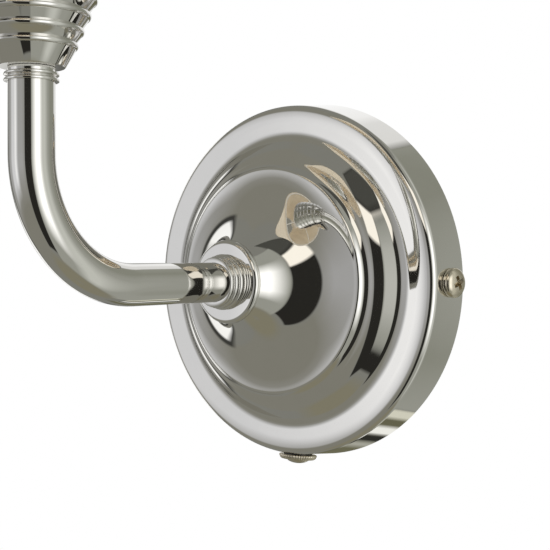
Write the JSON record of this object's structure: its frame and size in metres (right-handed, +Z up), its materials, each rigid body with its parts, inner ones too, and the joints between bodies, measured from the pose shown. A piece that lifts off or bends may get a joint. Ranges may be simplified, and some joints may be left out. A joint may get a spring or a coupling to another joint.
{
  "type": "swing arm wall light",
  "caption": "Polished swing arm wall light: round stepped cover, two curved arms joined by a turned knuckle, tapered fabric shade.",
  "frame": {"origin": "middle of the wall cover's back edge, on the wall", "axes": "+Z up, -Y out of the wall towards the room, +X to the right seen from the room"},
  "size_m": [0.2013, 0.3322, 0.3716],
  "materials": {
    "polished_nickel": "mirror-polished nickel plate",
    "screw_nickel": "warm nickel plate, slightly brushed",
    "zinc_steel": "zinc-plated steel",
    "brass": "plain brass",
    "cap_metal": "satin",
    "wire_metal": "white enamelled wire",
    "nylon": "natural nylon",
    "white_plastic": "moulded thermoset",
    "black_plastic": "moulded",
    "flex_sheath": "smooth white sheath",
    "opal_glass": "opal",
    "shade_fabric": "cream laminated cloth",
    "shade_tape": "folded cloth tape"
  },
  "bodies": {
    "wall_side": {"wall_bracket": "zinc_steel", "wall_plate": "polished_nickel", "cover_screws": "screw_nickel", "terminal_block": "nylon", "terminal_screws": "brass", "earth_screw": "brass", "switch_body": "black_plastic", "switch_bezel": "screw_nickel", "lock_washer": "zinc_steel", "lock_nut": "zinc_steel", "arm_nipple": "zinc_steel", "arm_washer": "polished_nickel", "lower_collar": "polished_nickel", "lower_arm": "polished_nickel", "lower_flex": "flex_sheath", "knuckle_base": "polished_nickel", "pivot_nipple": "zinc_steel", "friction_washer": "nylon", "stop_washer": "zinc_steel", "knuckle_nut": "zinc_steel"},
    "swing_side": {"knuckle_body": "polished_nickel", "stop_pin": "zinc_steel", "knuckle_cap": "polished_nickel", "knuckle_finial": "polished_nickel", "upper_nipple": "zinc_steel", "upper_collar": "polished_nickel", "upper_arm": "polished_nickel", "upper_flex": "flex_sheath", "lamp_spool": "polished_nickel", "lamp_nipple": "zinc_steel", "drip_cup": "polished_nickel", "lamp_sleeve": "polished_nickel", "lampholder": "white_plastic", "socket_shell": "brass", "socket_contact": "brass", "bulb_cap": "cap_metal", "bulb_globe": "opal_glass", "shade_ring": "white_plastic", "shade_frame": "wire_metal", "shade_top_ring": "wire_metal", "shade": "shade_fabric", "shade_trims": "shade_tape"},
    "switch_push": {"switch_button": "screw_nickel"}
  },
  "joints": [
    {"name": "arm_swing", "type": "hinge", "parent": "wall_side", "child": "swing_side", "pos_m": [0, -0.1215, 0.0593], "axis": [0, 0, 1], "range_deg": [-90, 90]},
    {"name": "switch_press", "type": "slide", "parent": "wall_side", "child": "switch_push", "axis": [0, 0.1112, 0.9938], "range_m": [0, 0.0012], "stiffness_N_per_m": 600}
  ]
}
